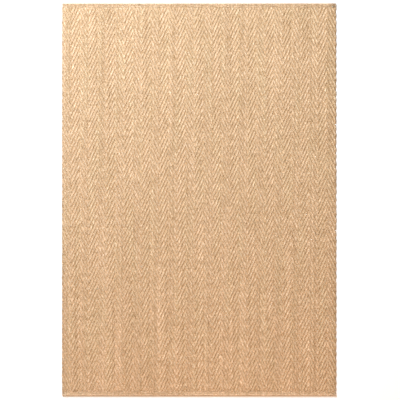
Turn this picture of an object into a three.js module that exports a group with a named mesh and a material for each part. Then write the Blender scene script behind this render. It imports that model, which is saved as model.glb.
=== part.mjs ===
// Flat-woven jute rug with a herringbone of slanting ribs, lying flat.
// Millimetres, +Z up. X runs across the rug from selvedge to selvedge, Y along the warp from hem to hem.
// The origin is on the underside, at the middle of the rug.
//
// The rug is one closed surface. Its herringbone face is cut from slanting facets, and the rest is a belt of
// triangles between rows of points: over each hem, under the rug, and down each selvedge.

import * as THREE from "three";
import { mergeVertices } from "three/addons/utils/BufferGeometryUtils.js";

// Whole rug
const WIDTH = 1600;
const LENGTH = 2300;
const THICKNESS = 9;

// Herringbone: each column is one set of slanting ribs, the wales, and the next column slants back
const COLUMNS = 31;
const ENDS_PER_COLUMN = 11; // warp yarns side by side in a column
const PICKS = 218; // weft rows between the hems
const PICKS_PER_REPEAT = 4; // over two, under two
const WALE_RELIEF = 2; // from a wale's crest down to the furrow beside it

// Selvedge: the long edges, where the weft turns back round the last warp yarn
const SELVEDGE_ROLL = 5; // how far in from the edge the face starts to round over
const SELVEDGE_DROP = 3.5; // how far the face has dropped at the edge
const SCALLOP = 1.5; // how far the edge draws in between two turns of the weft

// Hem: the short ends, woven plain and turned under, with a sewn groove where they meet the herringbone
const HEM_DEPTH = 26;
const HEM_SEAM = { out: 2, height: 6.4 }; // the groove, measured out from the herringbone's end
const HEM_SHOULDER = { out: 12, height: 7.9 }; // half way up the slope from the groove to the fold
const HEM_FOLD_RADIUS = 4.4; // of the folded outer edge
const HEM_FOLD_STEPS = 4; // an even number, so that one point is the outermost
const HEM_INSET = 1; // how far the hem's two ends stop short of the selvedges

const JUTE = { color: 0xdfbd92, roughness: 0.95, metalness: 0 };

const fieldLength = LENGTH - 2 * HEM_DEPTH;
const columnWidth = WIDTH / COLUMNS;
const pick = fieldLength / PICKS;
const halfRepeat = PICKS_PER_REPEAT / 2; // picks from a crest to the next furrow
const WELD = 1e-3;

// The lines along the rug that carry the face's points: one at each column boundary, two at each selvedge.
function faceLines() {
  const boundaries = Array.from({ length: COLUMNS - 1 }, (_, i) => (i + 1) * columnWidth);
  return [0, SELVEDGE_ROLL, ...boundaries, WIDTH - SELVEDGE_ROLL, WIDTH].map((fromLeft) => ({
    fromLeft,
    x: fromLeft - WIDTH / 2,
    isEdge: fromLeft === 0 || fromLeft === WIDTH,
  }));
}

// How many picks the wales have slid back along the warp at a distance from the left selvedge:
// one pick a warp yarn, away over one column and back over the next.
function waleSlide(fromLeft) {
  const phase = (fromLeft / columnWidth) % 2;
  return ENDS_PER_COLUMN * (phase <= 1 ? phase : 2 - phase);
}

// A point of the herringbone, where a crest (even rows) or a furrow (odd rows) crosses a line.
function walePoint(line, row) {
  const isCrest = row % 2 === 0;
  const inward = line.isEdge && !isCrest ? SCALLOP : 0;
  return [
    line.x - Math.sign(line.x) * inward,
    -fieldLength / 2 + (row * halfRepeat - waleSlide(line.fromLeft)) * pick,
    THICKNESS - (isCrest ? 0 : WALE_RELIEF) - (line.isEdge ? SELVEDGE_DROP : 0),
  ];
}

// What is left of a flat facet on one side of a line across the rug: side is 1 beyond y and -1 before it.
function cutFacet(facet, y, side) {
  const isKept = (point) => side * (point[1] - y) >= 0;
  return facet.flatMap((point, i) => {
    const next = facet[(i + 1) % facet.length];
    const kept = isKept(point) ? [point] : [];
    if (isKept(point) === isKept(next)) return kept;
    const share = (y - point[1]) / (next[1] - point[1]);
    const crossing = point.map((value, axis) => value + share * (next[axis] - value));
    return [...kept, [crossing[0], y, crossing[2]]];
  });
}

// The herringbone's slanting facets, as far as the hems.
function waleFacets(lines) {
  const lastRow = Math.ceil((PICKS + ENDS_PER_COLUMN) / halfRepeat);
  const facets = [];
  for (let i = 0; i + 1 < lines.length; i += 1) {
    for (let row = 0; row < lastRow; row += 1) {
      const facet = [
        walePoint(lines[i], row),
        walePoint(lines[i + 1], row),
        walePoint(lines[i + 1], row + 1),
        walePoint(lines[i], row + 1),
      ];
      const kept = cutFacet(cutFacet(facet, -fieldLength / 2, 1), fieldLength / 2, -1);
      if (kept.length > 2) facets.push(kept);
    }
  }
  return facets;
}

// The facets' points that pass a test, each once, in order along one axis.
function rowOfPoints(facets, axis, test) {
  const sorted = facets.flat().filter(test).sort((a, b) => a[axis] - b[axis]);
  return sorted.filter((point, i) => i === 0 || point[axis] - sorted[i - 1][axis] > WELD);
}

// The triangles between two rows of points that run the same way, stepping along whichever is behind.
function zip(a, b) {
  const middleOfStep = (row, i) => (i + 0.5) / (row.length - 1);
  const triangles = [];
  let [i, j] = [0, 0];
  while (i < a.length - 1 || j < b.length - 1) {
    const takeA = i < a.length - 1 && (j === b.length - 1 || middleOfStep(a, i) <= middleOfStep(b, j));
    triangles.push(takeA ? [a[i], a[i + 1], b[j]] : [a[i], b[j + 1], b[j]]);
    if (takeA) i += 1;
    else j += 1;
  }
  return triangles;
}

// The rows of points over one hem, from the seam outwards and round the fold to the underside.
// outward is 1 at the far end of the rug and -1 at the near end.
function hemRows(lines, outward) {
  const foldCentre = HEM_DEPTH - HEM_FOLD_RADIUS;
  const fold = Array.from({ length: HEM_FOLD_STEPS + 1 }, (_, i) => {
    const angle = Math.PI * (1 / 2 - i / HEM_FOLD_STEPS);
    return {
      out: foldCentre + HEM_FOLD_RADIUS * Math.cos(angle),
      height: HEM_FOLD_RADIUS * (1 + Math.sin(angle)),
    };
  });
  const edgeShare = 1 - SELVEDGE_DROP / THICKNESS;
  return [HEM_SEAM, HEM_SHOULDER, ...fold].map(({ out, height }) => lines.map((line) => [
    line.x - (line.isEdge ? Math.sign(line.x) * HEM_INSET : 0),
    outward * (fieldLength / 2 + out),
    height * (line.isEdge ? edgeShare : 1),
  ]));
}

// The strip from the herringbone's end, with many points, to the hem's first row, column by column.
// The outermost columns also take the points that stand out past the hem's corners.
function seamStrip(fieldEnd, seam, outward) {
  return seam.slice(1).flatMap((right, i) => {
    const from = i === 0 ? -Infinity : seam[i][0] - WELD;
    const to = i + 2 === seam.length ? Infinity : right[0] + WELD;
    const part = fieldEnd.filter(([x]) => x >= from && x <= to);
    return outward > 0 ? zip(part, [seam[i], right]) : zip([seam[i], right], part);
  });
}

// One hem with its two end faces, from the end of the herringbone to the hem's last row, on the underside.
function hemSurface(lines, fieldEnd, outward) {
  const rows = hemRows(lines, outward);
  const belt = rows.slice(1).flatMap((row, i) => (outward > 0 ? zip(rows[i], row) : zip(row, rows[i])));
  const endFace = (corner, column) => {
    const outline = [corner, ...rows.map((row) => row[column])];
    const facesRight = corner[0] > 0;
    const foot = [toFoot(corner)];
    return facesRight === (outward > 0) ? zip(foot, outline) : zip(outline, foot);
  };
  return {
    triangles: [
      ...seamStrip(fieldEnd, rows[0], outward),
      ...belt,
      ...endFace(fieldEnd[0], 0),
      ...endFace(fieldEnd[fieldEnd.length - 1], lines.length - 1),
    ],
    underside: rows[rows.length - 1],
  };
}

// The point of the underside below a point of the face.
function toFoot([x, y]) {
  return [x, y, 0];
}

function rugGeometry() {
  const lines = faceLines();
  const facets = waleFacets(lines);
  const edgeZone = WIDTH / 2 - SELVEDGE_ROLL / 2;
  const isAt = (y) => (point) => Math.abs(point[1] - y) < WELD;
  const left = rowOfPoints(facets, 1, (point) => point[0] < -edgeZone);
  const right = rowOfPoints(facets, 1, (point) => point[0] > edgeZone);
  const near = hemSurface(lines, rowOfPoints(facets, 0, isAt(-fieldLength / 2)), -1);
  const far = hemSurface(lines, rowOfPoints(facets, 0, isAt(fieldLength / 2)), 1);
  const [leftFeet, rightFeet] = [left.map(toFoot), right.map(toFoot)];
  const feetAcross = (i) => [leftFeet.at(i), rightFeet.at(i)];

  const triangles = [
    ...facets.flatMap((facet) => facet.slice(2).map((point, i) => [facet[0], facet[i + 1], point])),
    ...near.triangles,
    ...far.triangles,
    ...zip(left, leftFeet),
    ...zip(rightFeet, right),
    ...zip(leftFeet, rightFeet),
    ...zip(feetAcross(0), near.underside),
    ...zip(far.underside, feetAcross(-1)),
  ];
  const loose = new THREE.BufferGeometry();
  loose.setAttribute("position", new THREE.Float32BufferAttribute(triangles.flat(2), 3));
  const geometry = mergeVertices(loose, WELD);
  geometry.computeVertexNormals();
  return geometry;
}

const rug = new THREE.Mesh(rugGeometry(), new THREE.MeshStandardMaterial(JUTE));
rug.name = "rug";

const juteRug = new THREE.Group();
juteRug.add(rug);

export default juteRug;
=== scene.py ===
# %% [markdown]
# # A jute rug, woven in herringbone
#
# This lesson builds a flat-woven jute rug, 160 by 230 cm. A weaver makes it on a wide loom. The warp yarns,
# or ends, run the length of the rug, and the weft goes to and fro across them in rows called picks. Each
# end passes over two picks and under two, and its neighbour does the same one pick later, so slanting ribs
# appear, the wales. Every eleven ends the steps turn back, and that gives the zigzag columns.
#
# A pattern painted on a slab could show the zigzag from above, but not the ribs' shadows or the yarns that
# show at the edges. So the rug is woven here yarn by yarn, in the order in which a weaver would do it. The
# CAD model says where it lies and how large it is. All lengths are in metres.

import math
import random

import bpy
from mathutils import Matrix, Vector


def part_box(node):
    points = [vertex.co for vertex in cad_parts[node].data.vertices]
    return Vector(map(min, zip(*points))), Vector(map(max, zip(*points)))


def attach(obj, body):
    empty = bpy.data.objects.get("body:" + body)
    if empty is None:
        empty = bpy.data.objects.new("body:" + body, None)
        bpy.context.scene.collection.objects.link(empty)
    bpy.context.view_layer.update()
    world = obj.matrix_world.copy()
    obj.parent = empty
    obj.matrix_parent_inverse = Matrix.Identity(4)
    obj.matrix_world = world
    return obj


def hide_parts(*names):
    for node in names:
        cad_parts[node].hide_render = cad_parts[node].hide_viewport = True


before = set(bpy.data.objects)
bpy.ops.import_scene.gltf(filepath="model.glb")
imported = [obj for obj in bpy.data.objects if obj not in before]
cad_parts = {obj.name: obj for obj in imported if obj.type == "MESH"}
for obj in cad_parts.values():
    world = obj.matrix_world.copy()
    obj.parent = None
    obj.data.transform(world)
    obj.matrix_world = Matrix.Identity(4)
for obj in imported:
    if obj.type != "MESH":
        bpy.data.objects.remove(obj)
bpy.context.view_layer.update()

# %% [markdown]
# ## The weaver's counts
#
# A rug is planned in counts: how many columns, how many ends in each, how many picks. The yarn spacings
# could be typed in, but they follow from the counts and the rug's size, so they are worked out here, and
# every later step uses them.

# %% Counts and spacings
rug_low, rug_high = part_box("rug")
WIDTH, LENGTH, THICKNESS = rug_high - rug_low
MIDDLE = THICKNESS / 2  # half way up through the cloth

COLUMNS = 31
ENDS_PER_COLUMN = 11
ENDS = COLUMNS * ENDS_PER_COLUMN
PICKS = 218
PICKS_PER_REPEAT = 4  # over two, under two
HEM_DEPTH = 0.026

FIELD = LENGTH - 2 * HEM_DEPTH  # the herringbone's length, between the hems
END_PITCH = WIDTH / ENDS
PICK_PITCH = FIELD / PICKS
print(f"{ENDS} ends, {END_PITCH * 1000:.2f} mm apart")
print(f"{PICKS} picks, {PICK_PITCH * 1000:.2f} mm apart")

# %% [markdown]
# ## Selecting one piece
#
# An operator acts on all that is selected, as a tool does on all that lies under it. So each step first
# deselects everything and selects its own piece, and a helper does both.

# %% Select one piece


def select_only(piece):
    """Deselects everything, then selects this piece and makes it the active one."""
    bpy.ops.object.select_all(action="DESELECT")
    piece.select_set(True)
    bpy.context.view_layer.objects.active = piece


# %% [markdown]
# ## Nodes and colours
#
# Materials and Geometry Nodes are both trees of nodes. One helper adds a node to either, sets it and links
# it, so a whole pattern takes only a few lines. Colours are written as the hex values that a colour picker
# shows, and shaders want them linear.

# %% Add nodes and set colours


def add_node(tree, kind, inputs=None, **settings):
    """Adds a node. inputs gives sockets a value or the output they come from, and settings are the rest."""
    node = tree.nodes.new(kind)
    for name, value in settings.items():
        setattr(node, name, value)
    for key, value in (inputs or {}).items():
        if isinstance(value, bpy.types.NodeSocket):
            tree.links.new(value, node.inputs[key])
        else:
            node.inputs[key].default_value = value
    return node


def linear(hex_colour):
    """An sRGB hex colour as linear numbers."""
    parts = [int(hex_colour[i : i + 2], 16) / 255 for i in (1, 3, 5)]
    return tuple(c / 12.92 if c <= 0.04045 else ((c + 0.055) / 1.055) ** 2.4 for c in parts) + (1.0,)


def set_ramp(node, stops):
    """Gives a colour ramp its stops, which are (place, hex colour) pairs."""
    elements = node.color_ramp.elements
    while len(elements) < len(stops):
        elements.new(0.5)
    for element, (place, colour) in zip(elements, stops):
        element.position = place
        element.color = linear(colour)


def new_material(name):
    """A material whose tree of nodes is still empty."""
    material = bpy.data.materials.new(name)
    material.use_nodes = True
    material.node_tree.nodes.clear()
    return material


# %% [markdown]
# ## Marks along the yarn
#
# Jute is the inner bark of a plant, spun by machine into thick, loose yarn. Everything that the eye sees in
# it is drawn out along the yarn: tints, strands, fibres and flecks of bark. A picture of jute would repeat
# and would not follow the yarns, so each of these is a noise pattern with long, narrow marks. A Mapping
# node of the Texture kind takes real sizes, so a pattern is given by how long and how wide its marks are.

# %% Draw marks along the yarn
NOISE_RANGE = (0.3, 0.7)  # where nearly all of a noise pattern's values lie


def marks(tree, along, size, slant=0.0, own=None, **noise):
    """A noise pattern on the yarns. along is 0 for yarn that runs on X and 1 for Y. size is a mark's length,
    width and height, and slant its angle to the yarn. own is a number that gives each yarn its own marks."""
    length, width, height = size
    place = add_node(tree, "ShaderNodeTexCoord")
    sized = add_node(
        tree,
        "ShaderNodeMapping",
        {
            "Vector": place.outputs["Object"],
            "Rotation": (0, 0, slant),
            "Scale": (length, width, height) if along == 0 else (width, length, height),
        },
        vector_type="TEXTURE",
    )
    inputs = {"Vector": sized.outputs[0], "Scale": 1.0, **noise}
    if own is None:
        return add_node(tree, "ShaderNodeTexNoise", inputs).outputs[0]
    return add_node(tree, "ShaderNodeTexNoise", {**inputs, "W": own}, noise_dimensions="4D").outputs[0]


# %% [markdown]
# ## The spools' tints
#
# The yarn comes from many spools, and each differs a little, from pale straw to tan. Across the rug the
# tint changes about every 50 mm and along it ten times as slowly, so it shows as faint streaks. A colour
# ramp holds the spools' colours, and a pattern chooses among them.

# %% Tint the yarn
SPOOL_SIZE = (0.5, 0.05, 1.0)


def spool_tint(tree, along, spools):
    """The yarn's colour before any shade. spools are (place, hex colour) pairs."""
    pattern = marks(tree, along, SPOOL_SIZE, Detail=1.0)
    low, high = NOISE_RANGE
    spread = add_node(tree, "ShaderNodeMapRange", {0: pattern, 1: low, 2: high})
    tint = add_node(tree, "ShaderNodeValToRGB", {0: spread.outputs[0]})
    set_ramp(tint, spools)
    return tint.outputs[0]


# %% [markdown]
# ## Light and dark in the yarn
#
# Four things make jute lighter or darker. Each yarn has its own lightness, which changes from float to
# float. The loose strands that it is spun from show as streaks, at a slant because the yarn is twisted. The
# fibres lie on them. And yarns that lie side by side came from one batch, lighter or darker for most of the
# rug's length. One noise with much detail could stand for all of it, but then no yarn would stand out from
# its neighbour. So each is a pattern of its own, and their shades are multiplied.
#
# Real fibres are a twentieth of a millimetre wide. They are drawn ten times that, because finer ones would
# not show in the picture.

# %% Shade the yarn
DRIFT_SIZE = (0.03, 50.0, 50.0)  # the same all the way across a yarn
DRIFT_RANGE = (0.25, 0.75)
DRIFT_SHADES = (0.52, 1.48)
STRAND_SIZE = (0.009, 0.0016, 0.0016)
STRAND_SHADES = (0.48, 1.38)
FIBRE_SIZE = (0.007, 0.0005, 0.0005)
FIBRE_SHADES = (0.84, 1.12)
BATCH_SIZE = (2.5, 0.012, 1.0)
BATCH_SHADES = ((0.98, 1.02), (0.87, 1.13))  # for the weft and for the warp


def shaded_by(tree, shade, pattern, shades, spread=NOISE_RANGE):
    """A shade, multiplied by a number between these two shades that follows the pattern over its spread."""
    factor = add_node(
        tree,
        "ShaderNodeMapRange",
        {0: pattern, 1: spread[0], 2: spread[1], 3: shades[0], 4: shades[1]},
    )
    product = add_node(tree, "ShaderNodeMath", {0: shade, 1: factor.outputs[0]}, operation="MULTIPLY")
    return product.outputs[0]


def yarn_shade(tree, along, own, strands, fibres):
    """How light the yarn is. 1 leaves its tint as it is."""
    drift = marks(tree, along, DRIFT_SIZE, own=own, Detail=2.0, Roughness=0.8)
    batch = marks(tree, along, BATCH_SIZE, Detail=1.0)
    skin = shaded_by(tree, 1.0, strands, STRAND_SHADES)
    skin = shaded_by(tree, skin, fibres, FIBRE_SHADES)
    shade = shaded_by(tree, skin, drift, DRIFT_SHADES, DRIFT_RANGE)
    return shaded_by(tree, shade, batch, BATCH_SHADES[along])


# %% [markdown]
# ## Shade becomes colour
#
# Darker jute is also browner. A plain multiply would only make it grey, so blue changes most with the
# shade, and red least. The small brown flecks, 8 mm long, are outer bark that was left in. They could be
# dots of mesh, but they lie flat in the yarn, so they are painted, and only where a pattern peaks, which
# keeps them rare.

# %% Colour the yarn
TINT_REACH = (0.83, 1.0, 1.28)  # how far red, green and blue follow the shade
FLECK_SIZE = (0.008, 0.0015, 0.0015)
FLECK_PEAK = (0.70, 0.76)
FLECK_STRENGTH = 0.8
BARK = "#7A5330"


def shaded_tint(tree, tint, shade):
    """The yarn's tint, made lighter or darker by its shade."""
    by_channel = add_node(
        tree,
        "ShaderNodeVectorMath",
        {0: shade, 1: TINT_REACH, 2: tuple(1 - reach for reach in TINT_REACH)},
        operation="MULTIPLY_ADD",
    )
    shaded = add_node(
        tree, "ShaderNodeVectorMath", {0: tint, 1: by_channel.outputs[0]}, operation="MULTIPLY"
    )
    return shaded.outputs[0]


def with_bark(tree, colour, along, slant):
    """A colour with flecks of bark in it."""
    pattern = marks(tree, along, FLECK_SIZE, slant, Detail=0.0)
    low, high = FLECK_PEAK
    share = add_node(tree, "ShaderNodeMapRange", {0: pattern, 1: low, 2: high, 3: 0.0, 4: FLECK_STRENGTH})
    flecked = add_node(
        tree, "ShaderNodeMix", {0: share.outputs[0], 6: colour, 7: linear(BARK)}, data_type="RGBA"
    )
    return flecked.outputs[2]


# %% [markdown]
# ## Painted shade deep in the cloth
#
# Deep between the yarns jute looks darker and warmer, because light reaches it only by way of other yarns.
# The renderer works out most of that. The rest is painted shade: a tint, which grows with a point's depth
# below the cloth's two faces, and it keeps the furrows crisp.

# %% Paint shade into the depths
DEPTH_START = 0.0042  # from the cloth's middle: further out there is no tint
DEPTH_FULL = 0.0018  # and nearer in it is full


def with_painted_shade(tree, colour, painted_shade_tint):
    """A colour that is multiplied by a tint of painted shade deep in the cloth."""
    place = add_node(tree, "ShaderNodeTexCoord")
    parts = add_node(tree, "ShaderNodeSeparateXYZ", {0: place.outputs["Object"]})
    above_middle = add_node(tree, "ShaderNodeMath", {0: parts.outputs[2], 1: MIDDLE}, operation="SUBTRACT")
    from_middle = add_node(tree, "ShaderNodeMath", {0: above_middle.outputs[0]}, operation="ABSOLUTE")
    depth = add_node(
        tree,
        "ShaderNodeMapRange",
        {0: from_middle.outputs[0], 1: DEPTH_FULL, 2: DEPTH_START, 3: 1.0, 4: 0.0},
        interpolation_type="SMOOTHSTEP",
    )
    deepened = add_node(
        tree,
        "ShaderNodeMix",
        {0: depth.outputs[0], 6: colour, 7: linear(painted_shade_tint)},
        data_type="RGBA",
        blend_type="MULTIPLY",
    )
    return deepened.outputs[2]


# %% [markdown]
# ## The jute itself
#
# Spun jute is dry and matt, with the faint silky sheen of loose plant fibre. It is cellulose, which has an
# IOR of about 1.5, and its rough skin leaves little gloss of it. The strands and fibres that shade the yarn
# also stand up from it. In mesh they would take millions of faces, so they are bumps, first the strands and
# on them the fibres.

# %% The jute material
STRAND_RELIEF = 0.004
FIBRE_RELIEF = 0.0006
NUMBER_SPREAD = 1000.0  # drives the yarns' numbers, from 0 to 1, so far apart that no two noises are alike


def spun_jute(name, spools, along, painted_shade_tint, slant):
    """Spun jute yarn. spools are the spools' colours, along is 0 for yarn that runs on X and 1 for Y,
    painted_shade_tint is painted shade, multiplied into the colour deep in the cloth, and slant is the
    fibres' angle."""
    material = new_material(name)
    tree = material.node_tree
    yarn = add_node(tree, "ShaderNodeAttribute", attribute_name="yarn")
    number = add_node(
        tree, "ShaderNodeMath", {0: yarn.outputs["Fac"], 1: NUMBER_SPREAD}, operation="MULTIPLY"
    )
    own = number.outputs[0]
    strands = marks(tree, along, STRAND_SIZE, slant, own, Detail=1.0)
    fibres = marks(tree, along, FIBRE_SIZE, slant, Detail=3.0)

    tint = spool_tint(tree, along, spools)
    colour = shaded_tint(tree, tint, yarn_shade(tree, along, own, strands, fibres))
    colour = with_bark(tree, colour, along, slant)
    # painted shade: the colour is darkened and warmed deep between the yarns
    colour = with_painted_shade(tree, colour, painted_shade_tint)

    strand_bump = add_node(
        tree, "ShaderNodeBump", {"Height": strands, "Strength": 1.0, "Distance": STRAND_RELIEF}
    )
    bump = add_node(
        tree,
        "ShaderNodeBump",
        {"Height": fibres, "Normal": strand_bump.outputs[0], "Strength": 0.6, "Distance": FIBRE_RELIEF},
    )
    shader = add_node(
        tree,
        "ShaderNodeBsdfPrincipled",
        {
            "Base Color": colour,
            "Normal": bump.outputs[0],
            "Roughness": 0.9,
            "IOR": 1.5,
            "Specular IOR Level": 0.2,
            "Sheen Weight": 0.2,
            "Sheen Roughness": 0.5,
        },
    )
    add_node(tree, "ShaderNodeOutputMaterial", {0: shader.outputs[0]})
    print(name, len(tree.nodes), "nodes")
    return material


# %% [markdown]
# ## Three yarns of jute
#
# The warp is twisted harder than the weft, so its fibres lie at a steeper slant. The weft is painted paler,
# to make up for the shade in the furrows, where it shows and little light comes: a painted lightening. The
# hems' weft lies open to the light, so it is painted as dark as the warp. One material for all three would
# be simpler, but the furrows or the hems would then come out in the wrong tone.

# %% Spin the three yarns' materials
warp_jute = spun_jute(
    "spun_jute_warp",
    [(0.0, "#DCC29D"), (0.35, "#DABE99"), (0.6, "#DBBE9A"), (0.8, "#DEC19D"), (1.0, "#E2C5A2")],
    along=1,
    # painted shade in the warp's furrows and creases
    painted_shade_tint="#E4D6C2",
    slant=math.radians(16),
)
weft_jute = spun_jute(
    "spun_jute_weft",
    # painted paler than the warp, to offset the shade in the furrows
    [(0.0, "#E1C199"), (0.5, "#EACAA2"), (1.0, "#F2D4AD")],
    along=0,
    painted_shade_tint="#FFFFFF",
    slant=math.radians(12),
)
hem_jute = spun_jute(
    "spun_jute_hem",
    # as dark as the warp: the hems lie open to the light and get no painted lightening
    [(0.0, "#D6B691"), (0.5, "#DEBE98"), (1.0, "#E6C8A3")],
    along=0,
    painted_shade_tint="#FFFFFF",
    slant=math.radians(12),
)

# %% [markdown]
# ## A yarn starts as a ring
#
# A yarn is a long round body, and a cylinder stretched along it could not bend. So it starts as a ring, set
# across it. The ring has only four corners. Smooth shading rounds it, and the rug holds more than a
# thousand yarns, so every corner counts.

# %% Set a ring across a yarn
YARN_CORNERS = 4


def yarn_ring(name, along, width, thick, centre, corners=YARN_CORNERS):
    """A ring set across a yarn. along is 0 where the yarn runs on X and 1 where it runs on Y."""
    bpy.ops.object.select_all(action="DESELECT")
    bpy.ops.mesh.primitive_circle_add(
        vertices=corners,
        radius=0.5,
        location=centre,
        rotation=(math.pi / 2, 0, math.pi / 2 if along == 0 else 0),
    )
    ring = bpy.context.object
    ring.name = name
    ring.scale = (width, thick, 1)
    bpy.ops.object.transform_apply(location=True, rotation=True, scale=True)
    return ring


# %% [markdown]
# ## The ring is drawn out
#
# The ring is extruded from pick to pick, level or slanting, as the yarn goes through the cloth. A yarn does
# the same thing over and over, so only one stretch is extruded, and an Array modifier repeats it and welds
# the joins.

# %% Extrude and repeat
WELD = 1e-5


def extrude_along(yarn, steps):
    """Extrudes a ring along the steps, one after another, and turns the faces outwards."""
    select_only(yarn)
    bpy.ops.object.mode_set(mode="EDIT")
    bpy.ops.mesh.select_all(action="SELECT")
    for step in steps:
        bpy.ops.mesh.extrude_region_move(TRANSFORM_OT_translate={"value": step})
    bpy.ops.mesh.select_all(action="SELECT")
    bpy.ops.mesh.normals_make_consistent(inside=False)
    bpy.ops.object.mode_set(mode="OBJECT")


def repeat_along(yarn, count, offset):
    """Repeats a stretch of yarn end to end, and welds the joins."""
    select_only(yarn)
    array = yarn.modifiers.new("repeat", "ARRAY")
    array.count = count
    array.use_relative_offset = False
    array.use_constant_offset = True
    array.constant_offset_displace = offset
    array.use_merge_vertices = True
    array.merge_threshold = WELD
    bpy.ops.object.modifier_apply(modifier=array.name)


# %% [markdown]
# ## Closed ends, and a shelf
#
# A cut yarn shows its end, not a hole, so the ring at each end is filled. A finished yarn is a pattern
# piece, which is copied many times later. Until then it lies on a shelf, a collection that isn't part of
# the scene.

# %% Close a yarn and put it away


def close_ends(yarn, corners=YARN_CORNERS):
    """Fills the open ring at each end of a yarn."""
    select_only(yarn)
    bpy.ops.object.mode_set(mode="EDIT")
    bpy.ops.mesh.select_all(action="SELECT")
    bpy.ops.mesh.fill_holes(sides=corners)
    bpy.ops.mesh.normals_make_consistent(inside=False)
    bpy.ops.object.mode_set(mode="OBJECT")


def put_away(yarn, shelf):
    """Takes a pattern piece off the scene and puts it on a shelf, where Geometry Nodes find it."""
    for shown_in in yarn.users_collection:
        shown_in.objects.unlink(yarn)
    shelf.objects.link(yarn)


# %% [markdown]
# ## One warp end
#
# In one repeat a warp end lies over two picks and under two. It is the thicker yarn, and where it floats it
# bulges out sideways and fills the furrow beside it. Its floats also lean a little, along the wale that
# they make, so there is one end that leans to the left and one to the right. Each is modelled for four
# picks and then repeated for the length of the rug, with some to spare at both ends.

# %% Model a warp end
WARP_WIDTH = 1.9 * END_PITCH
WARP_THICK = 0.0062
WARP_RISE = (THICKNESS - WARP_THICK) / 2  # from the middle of the cloth to the middle of a float
LEAN = 0.0010  # how far a float leans to the side over its length
SPARE_REPEATS = 2

first_pick = -FIELD / 2 - (SPARE_REPEATS * PICKS_PER_REPEAT + 0.5) * PICK_PITCH
repeats = math.ceil(PICKS / PICKS_PER_REPEAT) + 2 * SPARE_REPEATS


def warp_end(name, lean):
    """A warp end whose floats lean to the right by this length, or to the left where it is negative."""
    end = yarn_ring(name, 1, WARP_WIDTH, WARP_THICK, (-lean / 2, first_pick, MIDDLE + WARP_RISE))
    over = (lean, PICK_PITCH, 0)
    down = (0, PICK_PITCH, -2 * WARP_RISE)
    under = (-lean, PICK_PITCH, 0)
    up = (0, PICK_PITCH, 2 * WARP_RISE)
    extrude_along(end, [over, down, under, up])
    repeat_along(end, repeats, (0, PICKS_PER_REPEAT * PICK_PITCH, 0))
    end.data.materials.append(warp_jute)
    print(name, len(end.data.vertices), "points,", repeats, "repeats")
    return end


leaning_ends = [warp_end("end_leaning_left", -LEAN), warp_end("end_leaning_right", LEAN)]

# %% [markdown]
# ## The four sheds, for each lean
#
# The twill repeats every four picks, so an end can lie in only four ways, each one pick further on. A
# loom's four shafts lift exactly these four sets of ends, and the opening that they leave is a shed. With
# the two leans that makes eight pattern pieces. Each is a copy of an end, moved along by whole picks. It is
# cut with the bisect tool where it runs in under the hems, and the cut is pressed flat so that it goes in
# neatly.

# %% Cut the sheds
TUCK = 0.003  # how far the ends run on inside the hems
PRESS = (0.8, 1, 0.25)


def cut_and_press(yarn, y, keep_below):
    """Cuts a yarn straight across the rug, closes the cut and presses it towards the middle of the cloth."""
    select_only(yarn)
    bpy.ops.object.mode_set(mode="EDIT")
    bpy.ops.mesh.select_all(action="SELECT")
    bpy.ops.mesh.bisect(
        plane_co=(0, y, 0),
        plane_no=(0, 1, 0),
        use_fill=True,
        clear_outer=keep_below,
        clear_inner=not keep_below,
    )
    bpy.ops.transform.resize(value=PRESS, center_override=(0, y, MIDDLE))
    bpy.ops.object.mode_set(mode="OBJECT")


shafts = bpy.data.collections.new("shafts")
for side, end in enumerate(leaning_ends):
    for shed in range(PICKS_PER_REPEAT):
        select_only(end)
        bpy.ops.object.duplicate()
        copy = bpy.context.object
        copy.name = f"shed_{side * PICKS_PER_REPEAT + shed}"
        bpy.ops.transform.translate(value=(0, shed * PICK_PITCH, 0))
        bpy.ops.object.transform_apply(location=True)
        cut_and_press(copy, FIELD / 2 + TUCK, keep_below=True)
        cut_and_press(copy, -FIELD / 2 - TUCK, keep_below=False)
        put_away(copy, shafts)
    bpy.data.objects.remove(end)

# %% [markdown]
# ## The threading draft
#
# The draft says which shaft each end hangs on. Across one column the wales slide back by one pick from end
# to end, and across the next they come forward again. A table of 341 numbers would say the same, but the
# rule is shorter.

# %% Thread the loom


def picks_slid(end):
    """How many picks the wales have slid back at this end."""
    column, place = divmod(end, ENDS_PER_COLUMN)
    return place if column % 2 == 0 else ENDS_PER_COLUMN - 1 - place


def shed_of(end):
    """Which shed this end belongs to. The floats lean along their wale, to the left in even columns."""
    column = end // ENDS_PER_COLUMN
    return -picks_slid(end) % PICKS_PER_REPEAT + PICKS_PER_REPEAT * (column % 2)


def place_of(end):
    """How far to the right of the rug's middle this end lies."""
    return -WIDTH / 2 + (end + 0.5) * END_PITCH


print("the first column's sheds:", [shed_of(end) for end in range(ENDS_PER_COLUMN)])

# %% [markdown]
# ## The reed
#
# The reed is the loom's comb, which keeps the ends apart. Here it is a row of loose points, one for each
# yarn. A copy of a pattern piece could be moved to each place by hand, but points can carry what a yarn
# needs to know: which pattern piece it is, how it lies, and a random number of its own.

# %% Set out a reed
random.seed(7)  # every run weaves the same rug


def reed(name, points, kinds, turns=None, tilts=None):
    """A row of loose points. kinds says which pattern piece goes on each, tilts how far it tilts about X,
    and turns how far it then turns about Z."""
    mesh = bpy.data.meshes.new(name)
    mesh.from_pydata(points, [], [])
    mesh.attributes.new("kind", "INT", "POINT").data.foreach_set("value", kinds)
    level = [0.0] * len(points)
    numbers = [random.random() for _ in points]
    for attribute, values in (("yarn", numbers), ("turn", turns or level), ("tilt", tilts or level)):
        mesh.attributes.new(attribute, "FLOAT", "POINT").data.foreach_set("value", values)
    row = bpy.data.objects.new(name, mesh)
    bpy.context.scene.collection.objects.link(row)
    return row


# %% [markdown]
# ## Uneven yarn
#
# Spun jute is never even. Each yarn wanders a little to the side and up or down, about every 60 mm, and it
# swells and thins about every 15 mm, which spinners call slubs. Moving points at random would make it rough
# instead, so both follow smooth noises. A noise changes only along the yarn, and it has a fourth number
# besides the place, the yarn's own, so that no two yarns wander together.

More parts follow.
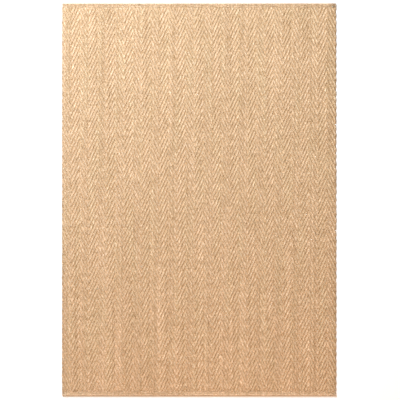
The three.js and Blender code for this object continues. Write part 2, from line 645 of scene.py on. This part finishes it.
# %% Make yarn wander and swell
WANDERS_PER_METRE = 16.0
SLUBS_PER_METRE = 60.0
STRAY_GAIN = 4  # a noise seldom strays more than a quarter from its middle
NOISE_MIDDLE = (0.5, 0.5, 0.5)
SLUB_RANGE = (0.25, 0.75)
SLUB_FLATNESS = (1.0, 1.0, 0.3)  # the cloth is pressed, so a slub swells sideways more than upwards


def noise_along(tree, along, per_metre, own):
    """A noise that changes this many times in a metre of yarn."""
    place = add_node(tree, "GeometryNodeInputPosition")
    scale = (per_metre, 0.0, 0.0) if along == 0 else (0.0, per_metre, 0.0)
    scaled = add_node(tree, "ShaderNodeVectorMath", {0: place.outputs[0], 1: scale}, operation="MULTIPLY")
    return add_node(
        tree,
        "ShaderNodeTexNoise",
        {"Vector": scaled.outputs[0], "W": own, "Scale": 1.0, "Detail": 1.0},
        noise_dimensions="4D",
    )


def wandering(tree, geometry, along, own, stray):
    """Yarns that wander this far on X, Y and Z."""
    noise = noise_along(tree, along, WANDERS_PER_METRE, own)
    centred = add_node(
        tree, "ShaderNodeVectorMath", {0: noise.outputs["Color"], 1: NOISE_MIDDLE}, operation="SUBTRACT"
    )
    reach = tuple(STRAY_GAIN * distance for distance in stray)
    offset = add_node(tree, "ShaderNodeVectorMath", {0: centred.outputs[0], 1: reach}, operation="MULTIPLY")
    moved = add_node(tree, "GeometryNodeSetPosition", {"Geometry": geometry, "Offset": offset.outputs[0]})
    return moved.outputs[0]


def swelling(tree, geometry, along, own, slub):
    """Yarns whose skin swells and shrinks this far."""
    noise = noise_along(tree, along, SLUBS_PER_METRE, own)
    low, high = SLUB_RANGE
    swell = add_node(tree, "ShaderNodeMapRange", {0: noise.outputs[0], 1: low, 2: high, 3: -slub, 4: slub})
    normal = add_node(tree, "GeometryNodeInputNormal")
    flattened = add_node(
        tree, "ShaderNodeVectorMath", {0: normal.outputs[0], 1: SLUB_FLATNESS}, operation="MULTIPLY"
    )
    offset = add_node(
        tree, "ShaderNodeVectorMath", {0: flattened.outputs[0], "Scale": swell.outputs[0]}, operation="SCALE"
    )
    moved = add_node(tree, "GeometryNodeSetPosition", {"Geometry": geometry, "Offset": offset.outputs[0]})
    return moved.outputs[0]


# %% [markdown]
# ## Laying the yarns in
#
# A tree of Geometry Nodes reads the reed. It puts the right pattern piece on each point, tilts and turns
# it, makes all of them real mesh, and then lets them wander and swell. Copying objects one by one would
# take minutes for thousands of yarns, and this takes a second.

# %% The tree that lays yarns


def laying_tree(name, shelf, along, stray, slub):
    """shelf holds the pattern pieces. along is 0 for yarn that runs on X and 1 for Y. stray is how far a
    yarn wanders on X, Y and Z, and slub is how far its skin swells."""
    tree = bpy.data.node_groups.new(name, "GeometryNodeTree")
    for in_out in ("INPUT", "OUTPUT"):
        tree.interface.new_socket("Geometry", in_out=in_out, socket_type="NodeSocketGeometry")
    entry = add_node(tree, "NodeGroupInput")
    patterns = add_node(
        tree,
        "GeometryNodeCollectionInfo",
        {"Collection": shelf, "Separate Children": True, "Reset Children": True},
    )
    kind = add_node(tree, "GeometryNodeInputNamedAttribute", {"Name": "kind"}, data_type="INT")
    turn, tilt, yarn = (
        add_node(tree, "GeometryNodeInputNamedAttribute", {"Name": attribute}, data_type="FLOAT").outputs[0]
        for attribute in ("turn", "tilt", "yarn")
    )
    turned = add_node(tree, "ShaderNodeCombineXYZ", {"X": tilt, "Z": turn})
    laid = add_node(
        tree,
        "GeometryNodeInstanceOnPoints",
        {
            "Points": entry.outputs[0],
            "Instance": patterns.outputs[0],
            "Pick Instance": True,
            "Instance Index": kind.outputs[0],
            "Rotation": turned.outputs[0],
        },
    )
    woven = add_node(tree, "GeometryNodeRealizeInstances", {"Geometry": laid.outputs[0]})
    own = add_node(tree, "ShaderNodeMath", {0: yarn, 1: NUMBER_SPREAD}, operation="MULTIPLY").outputs[0]
    strayed = wandering(tree, woven.outputs[0], along, own, stray)
    add_node(tree, "NodeGroupOutput", {0: swelling(tree, strayed, along, own, slub)})
    return tree


def lay_in(row, tree):
    """Runs a laying tree on a reed, so that its points become yarns."""
    select_only(row)
    modifier = row.modifiers.new("laying", "NODES")
    modifier.node_group = tree
    bpy.ops.object.modifier_apply(modifier=modifier.name)
    bpy.ops.object.shade_smooth()
    print(row.name, len(row.data.polygons), "faces")
    return row


# %% [markdown]
# ## The warp
#
# The weaver first sets up the whole warp, 341 ends side by side. As one mesh it would have too many faces
# to handle well, so it is laid in four bands of columns.

# %% Lay the warp
COLUMNS_PER_BAND = 8

warp_tree = laying_tree("lay_warp", shafts, along=1, stray=(0.0008, 0.0022, 0.0005), slub=0.0017)
warp_bands = []
for first_column in range(0, COLUMNS, COLUMNS_PER_BAND):
    last_column = min(first_column + COLUMNS_PER_BAND, COLUMNS)
    ends = range(first_column * ENDS_PER_COLUMN, last_column * ENDS_PER_COLUMN)
    row = reed(
        f"warp_band_{len(warp_bands) + 1}",
        [(place_of(end), 0, 0) for end in ends],
        kinds=[shed_of(end) for end in ends],
    )
    warp_bands.append(lay_in(row, warp_tree))

# %% [markdown]
# ## The weft
#
# Each pick is three yarns thrown together, which lie side by side. The warp hides most of them, and they
# show in the furrows as short lines across. They could bend over and under each end as the warp does, but
# the loom beats them in hard and they stay almost straight, so a bar with a ring at every column is enough.

# %% Lay the weft
YARNS_PER_PICK = 3
WEFT_PITCH = PICK_PITCH / YARNS_PER_PICK
WEFT_WIDTH = 1.05 * WEFT_PITCH
WEFT_THICK = 0.0034
TURN_REACH = 0.0042  # how far the weft stands out where it turns back
WEFT_END = WIDTH / 2 - TURN_REACH - WEFT_THICK / 2  # where the turns begin, measured from the middle


def straight_weft(name, half_span, width, thick, jute):
    """A straight weft yarn across the rug, closed at both ends."""
    step = (2 * half_span / COLUMNS, 0, 0)
    yarn = yarn_ring(name, 0, width, thick, (-half_span, 0, MIDDLE))
    extrude_along(yarn, [step])
    repeat_along(yarn, COLUMNS, step)
    close_ends(yarn)
    yarn.data.materials.append(jute)
    return yarn


shuttle = bpy.data.collections.new("shuttle")
put_away(straight_weft("weft_yarn", WEFT_END, WEFT_WIDTH, WEFT_THICK, weft_jute), shuttle)
weft_tree = laying_tree("lay_weft", shuttle, along=0, stray=(0, 0.0005, 0.0004), slub=0.0004)
weft_places = [(0, -FIELD / 2 + (row + 0.5) * WEFT_PITCH, 0) for row in range(PICKS * YARNS_PER_PICK)]
weft = lay_in(reed("weft", weft_places, kinds=[0] * len(weft_places)), weft_tree)

# %% [markdown]
# ## A turn of the weft
#
# At the rug's long sides the weft turns back round the outermost end and goes into the next shed. So the
# edge is a row of small bows, and each bow is three yarns, one inside the other. A curve with a bevel could
# make a bow, but a ring spun half way round with the spin tool keeps the four corners of the other yarns. A
# half circle would stand out too far, and the cloth is pulled tight, so each turn is pressed towards the
# edge.

# %% Model a bow
SPIN_STEPS = 6
BOW_REACHES = (0.4 * TURN_REACH, 0.7 * TURN_REACH, TURN_REACH)  # the inner, middle and outer yarn's


def half_turn(name, radius, reach, width, thick, height):
    """A yarn that turns back on itself, about the Z axis and facing +X, pressed to reach this far."""
    loop = yarn_ring(name, 0, width, thick, (0, -radius, height))
    select_only(loop)
    bpy.ops.object.mode_set(mode="EDIT")
    bpy.ops.mesh.select_all(action="SELECT")
    bpy.ops.mesh.spin(steps=SPIN_STEPS, angle=math.pi, center=(0, 0, height), axis=(0, 0, 1))
    bpy.ops.object.mode_set(mode="OBJECT")
    loop.scale = (reach / radius, 1, 1)
    bpy.ops.object.transform_apply(scale=True)
    close_ends(loop)
    return loop


def weft_bow(name):
    """Three nested turns of the weft, from one pick to the next."""
    loops = [
        half_turn(f"{name}_{nested}", (nested + 0.5) * WEFT_PITCH, reach, WEFT_WIDTH, WEFT_THICK, MIDDLE)
        for nested, reach in enumerate(BOW_REACHES)
    ]
    select_only(loops[0])
    for loop in loops:
        loop.select_set(True)
    bpy.ops.object.join()
    bow = bpy.context.object
    bow.name = name
    bow.data.materials.append(weft_jute)
    return bow


bows = bpy.data.collections.new("bows")
put_away(weft_bow("bow"), bows)
print("a bow stands out by", round(TURN_REACH * 1000, 1), "mm")

# %% [markdown]
# ## The selvedges
#
# The bows lie two picks apart. The weft comes back on the left a pick later than on the right, so the left
# side's bows join the other pairs of picks, turned half way round.

# %% Lay the selvedges
right_places = [(WEFT_END, -FIELD / 2 + pick * PICK_PITCH, 0) for pick in range(1, PICKS, 2)]
left_places = [(-WEFT_END, -FIELD / 2 + pick * PICK_PITCH, 0) for pick in range(2, PICKS, 2)]
bow_tree = laying_tree("lay_bows", bows, along=1, stray=(0.0005, 0.0004, 0.0003), slub=0.0003)
selvedges = lay_in(
    reed(
        "selvedges",
        right_places + left_places,
        kinds=[0] * (len(right_places) + len(left_places)),
        turns=[0.0] * len(right_places) + [math.pi] * len(left_places),
    ),
    bow_tree,
)

# %% [markdown]
# ## The hems' weft
#
# The last 26 mm at each end are woven plain, with the weft beaten in so close that it covers the warp. Then
# this band is turned under and sewn down. Seen end on, the weft rows lie side by side over the top, round
# the fold and back underneath, and they dip at the seam. A folded sheet with a striped bump would be
# quicker, but it would look cut off at its ends. There the weft turns back from each row to the next, on
# one side and then on the other, so a half turn is tilted to join every two rows.

# %% Model the hems' weft
# Each row's middle: millimetres out from the herringbone, and height above the floor
HEM_ROWS = [
    (1.6, 5.6), (4.9, 5.8), (8.2, 5.9), (11.4, 6.1), (14.6, 6.7), (17.8, 7.3), (20.8, 7.0),
    (23.3, 5.3), (24.1, 2.9),
    (21.6, 1.5), (18.2, 1.5), (14.8, 1.5), (11.4, 1.5), (8.0, 1.5), (4.6, 1.5), (1.6, 1.6),
]
HEM_BULGE = 0.0035  # how far the hems stand out at their ends, which makes them flush with the thick ends
HEM_WEFT_WIDTH = 0.0036
HEM_WEFT_THICK = 0.0030
HEM_TURN = 0.0016  # the radius of the weft's turn from one row to the next
HEM_END = WIDTH / 2 + HEM_BULGE - HEM_TURN - HEM_WEFT_THICK / 2  # where the turns begin

hem_shelf = bpy.data.collections.new("hem_shelf")
put_away(straight_weft("hem_a_row", HEM_END, HEM_WEFT_WIDTH, HEM_WEFT_THICK, hem_jute), hem_shelf)
hem_turn = half_turn("hem_b_turn", HEM_TURN, HEM_TURN, HEM_WEFT_THICK, HEM_WEFT_THICK, 0)
hem_turn.data.materials.append(hem_jute)
put_away(hem_turn, hem_shelf)
print("hem rows:", len(HEM_ROWS))

# %% Lay the hems' weft


def hem_turns(rows):
    """Where the weft turns from each row to the next, and how far each turn is turned and tilted."""
    places, turns, tilts = [], [], []
    for i, ((y, z), (next_y, next_z)) in enumerate(zip(rows, rows[1:])):
        side = 1 if i % 2 == 0 else -1
        places.append((side * HEM_END, (y + next_y) / 2, (z + next_z) / 2))
        turns.append(0.0 if side > 0 else math.pi)
        tilts.append(side * math.atan2(next_z - z, next_y - y))
    return places, turns, tilts


hem_tree = laying_tree("lay_hem_weft", hem_shelf, along=0, stray=(0, 0.0002, 0.0002), slub=0.0003)
hems = []
for name, outward in (("hem_near", -1), ("hem_far", 1)):
    rows = [(outward * (FIELD / 2 + out / 1000), height / 1000) for out, height in HEM_ROWS]
    row_places = [(0, y, z - MIDDLE) for y, z in rows]  # a row is modelled at the cloth's middle height
    level = [0.0] * len(rows)
    turn_places, turns, tilts = hem_turns(rows)
    kinds = [0] * len(rows) + [1] * len(turns)
    hems.append(lay_in(reed(name, row_places + turn_places, kinds, level + turns, level + tilts), hem_tree))

# %% [markdown]
# ## The ends that show in the hems
#
# One end in four stays on top as the hem begins and shows as a pale tick across the plain band. Half of the
# ticks go right over the fold. The warp itself could run on into the hems, but it would need faces where it
# can't be seen. So the ticks are modelled once for each kind, as a ring extruded along the hem's profile,
# and set out on the same threading draft. That way each tick goes on from a wale.

# %% Model the ticks
# Millimetres out from the herringbone, and height of the end's middle
LONG_TICK = [
    (-5, 6.5), (0, 6.6), (4, 6.9), (10, 7.2), (14.5, 8.0), (18.5, 8.6),
    (22.2, 7.7), (24.9, 5.2), (25.2, 2.6), (21, 1.0),
]
SHORT_TICK = [(-5, 6.5), (0, 6.5), (4, 6.8), (9, 6.9), (12, 5.6)]
TICK_WIDTH = 0.9 * END_PITCH
TICK_THICK = 0.0014


def hem_tick(name, profile):
    """A warp end that lies over the hem, for the far end of the rug."""
    places = [(0, FIELD / 2 + out / 1000, height / 1000) for out, height in profile]
    steps = [tuple(b - a for a, b in zip(here, there)) for here, there in zip(places, places[1:])]
    tick = yarn_ring(name, 1, TICK_WIDTH, TICK_THICK, places[0])
    extrude_along(tick, steps)
    close_ends(tick)
    tick.data.materials.append(warp_jute)
    return tick


ticks = bpy.data.collections.new("ticks")
put_away(hem_tick("tick_a_long", LONG_TICK), ticks)
put_away(hem_tick("tick_b_short", SHORT_TICK), ticks)

# %% Lay the hems' ends
FAR_SLID, NEAR_SLID = 2, 1  # the far hem goes on from the last pick, and the near hem from the first

tick_tree = laying_tree("lay_ticks", ticks, along=1, stray=(0.0006, 0, 0.0002), slub=0.0002)
tick_places, tick_kinds, tick_turns = [], [], []
for end in range(1, ENDS - 1):
    for first_slid, turn in ((FAR_SLID, 0.0), (NEAR_SLID, math.pi)):
        if (picks_slid(end) - first_slid) % PICKS_PER_REPEAT == 0:
            tick_places.append((place_of(end), 0, 0))
            tick_kinds.append(0 if random.random() < 0.5 else 1)
            tick_turns.append(turn)
hem_ends = lay_in(reed("hem_ends", tick_places, kinds=tick_kinds, turns=tick_turns), tick_tree)

# %% [markdown]
# ## Sewing thread
#
# The hems are sewn with strong linen thread, waxed so that it slides through the jute. It is smoother and
# darker than jute, and its ply shows as slanting bands 1 mm apart. Two twisted strands of mesh would be too
# fine to see, so the bands are a wave pattern, in colour and as a bump.

# %% The thread's material
PLY = 0.001
PLY_SLANT = math.radians(35)
PLY_WAVE = 0.31  # the Wave node's scale at which its bands come out one unit apart
PLY_RELIEF = 0.0002


def waxed_linen(name):
    """Waxed linen thread, with a slanting ply."""
    material = new_material(name)
    tree = material.node_tree
    place = add_node(tree, "ShaderNodeTexCoord")
    ply = add_node(
        tree,
        "ShaderNodeMapping",
        {"Vector": place.outputs["Object"], "Rotation": (0, 0, PLY_SLANT), "Scale": (PLY, PLY, PLY)},
        vector_type="TEXTURE",
    )
    bands = add_node(
        tree, "ShaderNodeTexWave", {"Vector": ply.outputs[0], "Scale": PLY_WAVE, "Distortion": 0.5}
    )
    colour = add_node(tree, "ShaderNodeValToRGB", {0: bands.outputs["Fac"]})
    set_ramp(colour, [(0.0, "#A98858"), (1.0, "#D9BE92")])
    bump = add_node(
        tree, "ShaderNodeBump", {"Height": bands.outputs["Fac"], "Strength": 0.5, "Distance": PLY_RELIEF}
    )
    shader = add_node(
        tree,
        "ShaderNodeBsdfPrincipled",
        {"Base Color": colour.outputs[0], "Normal": bump.outputs[0], "Roughness": 0.6, "IOR": 1.5},
    )
    add_node(tree, "ShaderNodeOutputMaterial", {0: shader.outputs[0]})
    print(name, len(tree.nodes), "nodes")
    return material


sewing_thread = waxed_linen("waxed_linen_thread")

# %% [markdown]
# ## The hem seam
#
# The thread goes through the turned hem in small stitches. It sinks into the jute, and little but the
# groove shows from above. One long thread could weave in and out, but its lower half would never be seen.
# So one stitch is a thread that rises, lies flat and goes down again, and it is copied along both hems.

# %% Sew the hems
STITCH = 0.008
STITCH_SLOPE = 0.16 * STITCH  # the part of a stitch that rises, and the part that goes down
STITCH_FLAT = 0.56 * STITCH
STITCH_RISE = 0.0012
SEAM_OUT = 0.0100  # from the herringbone to the seam
STITCH_LOW = 0.0064  # where the thread comes out of the jute
THREAD = 0.0012

stitch = yarn_ring("stitch", 0, THREAD, THREAD, (-STITCH_FLAT / 2 - STITCH_SLOPE, 0, STITCH_LOW))
extrude_along(
    stitch, [(STITCH_SLOPE, 0, STITCH_RISE), (STITCH_FLAT, 0, 0), (STITCH_SLOPE, 0, -STITCH_RISE)]
)
close_ends(stitch)
stitch.data.materials.append(sewing_thread)
needle = bpy.data.collections.new("needle")
put_away(stitch, needle)
stitch_tree = laying_tree("sew", needle, along=0, stray=(0, 0.0004, 0.0001), slub=0.0001)
stitch_count = int(2 * HEM_END / STITCH)
stitch_places = [
    ((i + 0.5 - stitch_count / 2) * STITCH, outward * (FIELD / 2 + SEAM_OUT), 0)
    for outward in (-1, 1)
    for i in range(stitch_count)
]
seams = lay_in(reed("seams", stitch_places, kinds=[0] * len(stitch_places)), stitch_tree)

# %% [markdown]
# ## Loose fibres
#
# Jute sheds, and fine hairs stand out of the yarns all over. A hair system could grow them, but it doesn't
# make real mesh. So three bent hairs are modelled, and some thousands of copies are scattered over the
# face, each turned its own way. Real hairs are under a tenth of a millimetre thick. These are three times
# that, because a thinner one would not show in the picture.

# %% Model three hairs
FIBRE_THICK = 0.0003
FIBRE_CORNERS = 3
HAIRS = {
    "hair_a": [(0.0004, 0.004, 0.0009), (0.0012, 0.004, 0.0003), (0.0020, 0.003, -0.0004)],
    "hair_b": [(-0.0003, 0.003, 0.0012), (-0.0016, 0.003, 0.0009), (-0.0030, 0.002, 0.0003)],
    "hair_c": [(0.0, 0.005, 0.0006), (-0.0006, 0.006, 0.0001), (0.0008, 0.006, -0.0007)],
}

fluff = bpy.data.collections.new("fluff")
for name, steps in HAIRS.items():
    hair = yarn_ring(name, 1, FIBRE_THICK, FIBRE_THICK, (0, 0, 0), FIBRE_CORNERS)
    extrude_along(hair, steps)
    close_ends(hair, FIBRE_CORNERS)
    hair.data.materials.append(warp_jute)
    put_away(hair, fluff)

# %% Scatter loose fibres
FIBRE_COUNT = 2600
SCATTER_WIDTH = 0.98  # the share of the rug's width and of its length that the hairs lie on
SCATTER_LENGTH = 0.985
ROOT_HEIGHTS = (0.0076, 0.0088)  # a hair starts inside a yarn, just under the face

fibre_places = [
    (
        random.uniform(-SCATTER_WIDTH, SCATTER_WIDTH) * WIDTH / 2,
        random.uniform(-SCATTER_LENGTH, SCATTER_LENGTH) * LENGTH / 2,
        random.uniform(*ROOT_HEIGHTS),
    )
    for _ in range(FIBRE_COUNT)
]
fibre_tree = laying_tree("scatter_fibres", fluff, along=1, stray=(0.0, 0.0, 0.0), slub=0.0)
fibres = lay_in(
    reed(
        "loose_fibres",
        fibre_places,
        kinds=[random.randrange(len(HAIRS)) for _ in fibre_places],
        turns=[random.uniform(0, 2 * math.pi) for _ in fibre_places],
    ),
    fibre_tree,
)

# %% [markdown]
# ## What rides on what
#
# The rug has no moving parts, so every piece rides on the one body, root. The weft is the sheet of cloth,
# cut to the rug's size, and the rest is worked into it. Together they stand for the CAD model's slab.

with_weft = [*warp_bands, selvedges, *hems, hem_ends, seams, fibres]
for piece in [weft, *with_weft]:
    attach(piece, "root")
    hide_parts("rug")
triangles = sum(len(p.vertices) - 2 for piece in [weft, *with_weft] for p in piece.data.polygons)
print("triangles in all:", triangles)

# %% [markdown]
# ## The floor
#
# The rug lies on a plain floor of matt white paint. The lowest yarns reach a little below the CAD model's
# underside, and a real floor would press them up. Here the floor lies that much lower instead, so that no
# yarn cuts through it.

# %% Lay the floor
FLOOR_SIZE = 14
FLOOR_HEIGHT = -0.0010

bpy.ops.object.select_all(action="DESELECT")
bpy.ops.mesh.primitive_plane_add(size=FLOOR_SIZE, location=(0, 0, FLOOR_HEIGHT))
floor = bpy.context.object
floor.name = "floor"
floor_paint = bpy.data.materials.new("matt_white_floor")
floor_paint.use_nodes = True
floor_shader = floor_paint.node_tree.nodes["Principled BSDF"]
floor_shader.inputs["Base Color"].default_value = linear("#F0F2F3")
floor_shader.inputs["Roughness"].default_value = 0.9
floor.data.materials.append(floor_paint)
bpy.ops.object.transform_apply(location=True)
print("floor at", round(FLOOR_HEIGHT * 1000, 1), "mm")

# %% [markdown]
# ## The light
#
# A large, soft and slightly cool key light stands beyond the far left corner, rather low, so it rakes
# across the wales. Those that run across the light show crisply and the others look flat. It is aimed past
# the near end, so the tone falls off gently along the rug. A warm fill comes from the near end, and warm
# surroundings light the rest. One lamp overhead would be simpler, but it would flatten the weave.

# %% Set the lights


def softbox(name, place, target, size, watts, colour):
    """A square studio light of this size that looks at the target."""
    light = bpy.data.lights.new(name, "AREA")
    light.shape = "SQUARE"
    light.size = size
    light.energy = watts
    light.color = linear(colour)[:3]
    lamp = bpy.data.objects.new(name, light)
    bpy.context.scene.collection.objects.link(lamp)
    lamp.location = place
    ray = [b - a for a, b in zip(place, target)]
    lamp.rotation_euler = (math.atan2(math.hypot(ray[0], ray[1]), -ray[2]), 0, math.atan2(-ray[0], ray[1]))
    print(name, watts, "watts")


softbox("key_light", (-2.2, 4.0, 3.3), target=(3.0, -8.0, 0), size=1.0, watts=645, colour="#E0EDFF")
softbox("warm_fill", (0.2, -2.4, 1.8), target=(0, -1.1, 0), size=1.5, watts=20, colour="#FFAA66")
world = bpy.data.worlds.new("studio")
bpy.context.scene.world = world
world.use_nodes = True
surroundings = world.node_tree.nodes["Background"]
surroundings.inputs["Color"].default_value = linear("#FFF1DE")
surroundings.inputs["Strength"].default_value = 0.63
bpy.context.scene.view_settings.view_transform = "Standard"

# %% [markdown]
# ## The camera
#
# The rug is seen from straight above. A long lens, high up, shows the near end and the far end alike, with
# hardly any of the sides. How high it hangs follows from how much it has to take in.

# %% Hang the camera
FRAME_WIDTH = 2.34  # metres across the picture, at the rug's face
CAMERA_PLACE = (0.0061, -0.0032)  # above this point of the rug, which isn't quite its middle

camera_data = bpy.data.cameras.new("camera")
camera_data.lens = 85
camera_data.sensor_width = 36
camera = bpy.data.objects.new("camera", camera_data)
bpy.context.scene.collection.objects.link(camera)
camera.location = (*CAMERA_PLACE, THICKNESS + FRAME_WIDTH * camera_data.lens / camera_data.sensor_width)
bpy.context.scene.camera = camera
print("camera height:", round(camera.location.z, 2), "m")
